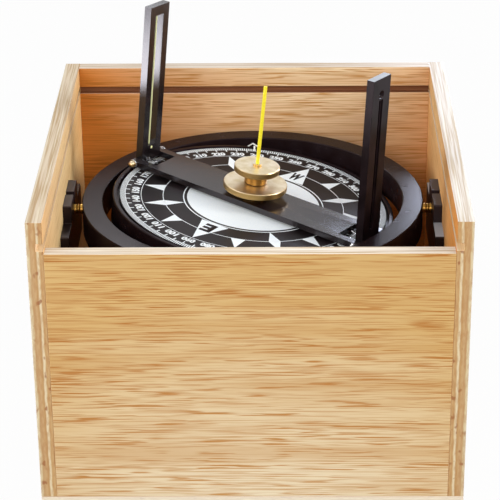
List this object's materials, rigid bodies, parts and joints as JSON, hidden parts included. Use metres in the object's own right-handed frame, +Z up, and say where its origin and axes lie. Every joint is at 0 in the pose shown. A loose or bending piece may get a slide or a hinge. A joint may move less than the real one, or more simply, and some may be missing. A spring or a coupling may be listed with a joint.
{
  "type": "pelorus",
  "caption": "Pelorus: a dumb compass card in a gimballed bowl with a turning sight arm, folding vanes and brass clamp knobs, in an open plywood case.",
  "frame": {"origin": "centre of the case's underside, on the surface that the case stands on", "axes": "+Z up; +X towards the case's right wall, along the gimbal ring's pivots; +Y towards the back wall, along the bowl's pivots; the low front wall faces -Y"},
  "size_m": [0.24, 0.24, 0.2431],
  "materials": {
    "plywood": "bare birch-faced plywood",
    "black_paint": "satin black paint",
    "black_anodised": "black anodised, satin",
    "brass": "satin turned brass",
    "steel": "bright",
    "iron": "as cast",
    "card_print": "matt black plate with white print",
    "white_paint": "white paint",
    "sight_thread": "waxed thread",
    "pin_yellow": "bright yellow"
  },
  "bodies": {
    "case": {"bottom_panel": "plywood", "front_panel": "plywood", "back_panel": "plywood", "left_panel": "plywood", "right_panel": "plywood", "left_bracket": "black_paint", "right_bracket": "black_paint", "bracket_screws": "steel"},
    "ring": {"gimbal_ring": "black_paint", "ring_pivot_pins": "brass", "bowl_pivot_screws": "brass"},
    "bowl": {"bowl": "black_paint", "ballast_weight": "iron", "spindle": "brass", "spindle_nut": "brass", "lubber_pointer": "white_paint"},
    "card": {"compass_card": "card_print", "card_hub": "brass"},
    "arm": {"sight_arm": "black_anodised", "arm_bush": "brass", "arm_washer": "steel", "thread_hinge_pin": "brass", "slit_hinge_pin": "steel", "hinge_washers": "steel", "thread_vane_spring": "steel", "slit_vane_spring": "steel"},
    "thread_sight": {"thread_vane": "black_anodised", "sight_thread": "sight_thread"},
    "slit_sight": {"slit_vane": "black_anodised"},
    "lower_knob": {"lower_clamp_knob": "brass"},
    "upper_knob": {"upper_clamp_knob": "brass"},
    "shadow_pin": {"shadow_pin": "pin_yellow"}
  },
  "joints": [
    {"name": "ring_pivot", "type": "hinge", "parent": "case", "child": "ring", "pos_m": [0, 0, 0.13], "axis": [1, 0, 0], "range_deg": [-20, 20]},
    {"name": "bowl_pivot", "type": "hinge", "parent": "ring", "child": "bowl", "pos_m": [0, 0, 0.13], "axis": [0, 1, 0], "range_deg": [-21, 9]},
    {"name": "card_turn", "type": "hinge", "parent": "bowl", "child": "card", "pos_m": [0, 0, 0.13], "axis": [0.1045, 0, 0.9945], "continuous": true},
    {"name": "arm_turn", "type": "hinge", "parent": "bowl", "child": "arm", "pos_m": [0, 0, 0.13], "axis": [0.1045, 0, 0.9945], "continuous": true},
    {"name": "thread_vane_fold", "type": "hinge", "parent": "arm", "child": "thread_sight", "pos_m": [-0.06446, 0.04395, 0.14477], "axis": [0.5532, 0.831, -0.0581], "range_deg": [0, 46]},
    {"name": "slit_vane_fold", "type": "hinge", "parent": "arm", "child": "slit_sight", "pos_m": [0.06612, -0.04395, 0.13104], "axis": [-0.5532, -0.831, 0.0581], "range_deg": [-4.4, 41.4]},
    {"name": "lower_knob_turn", "type": "hinge", "parent": "bowl", "child": "lower_knob", "pos_m": [0, 0, 0.13], "axis": [0.1045, 0, 0.9945], "continuous": true},
    {"name": "upper_knob_turn", "type": "hinge", "parent": "bowl", "child": "upper_knob", "pos_m": [0, 0, 0.13], "axis": [0.1045, 0, 0.9945], "continuous": true},
    {"name": "shadow_pin_lift", "type": "slide", "parent": "bowl", "child": "shadow_pin", "axis": [0.1045, 0, 0.9945], "range_m": [0, 0.016]}
  ]
}
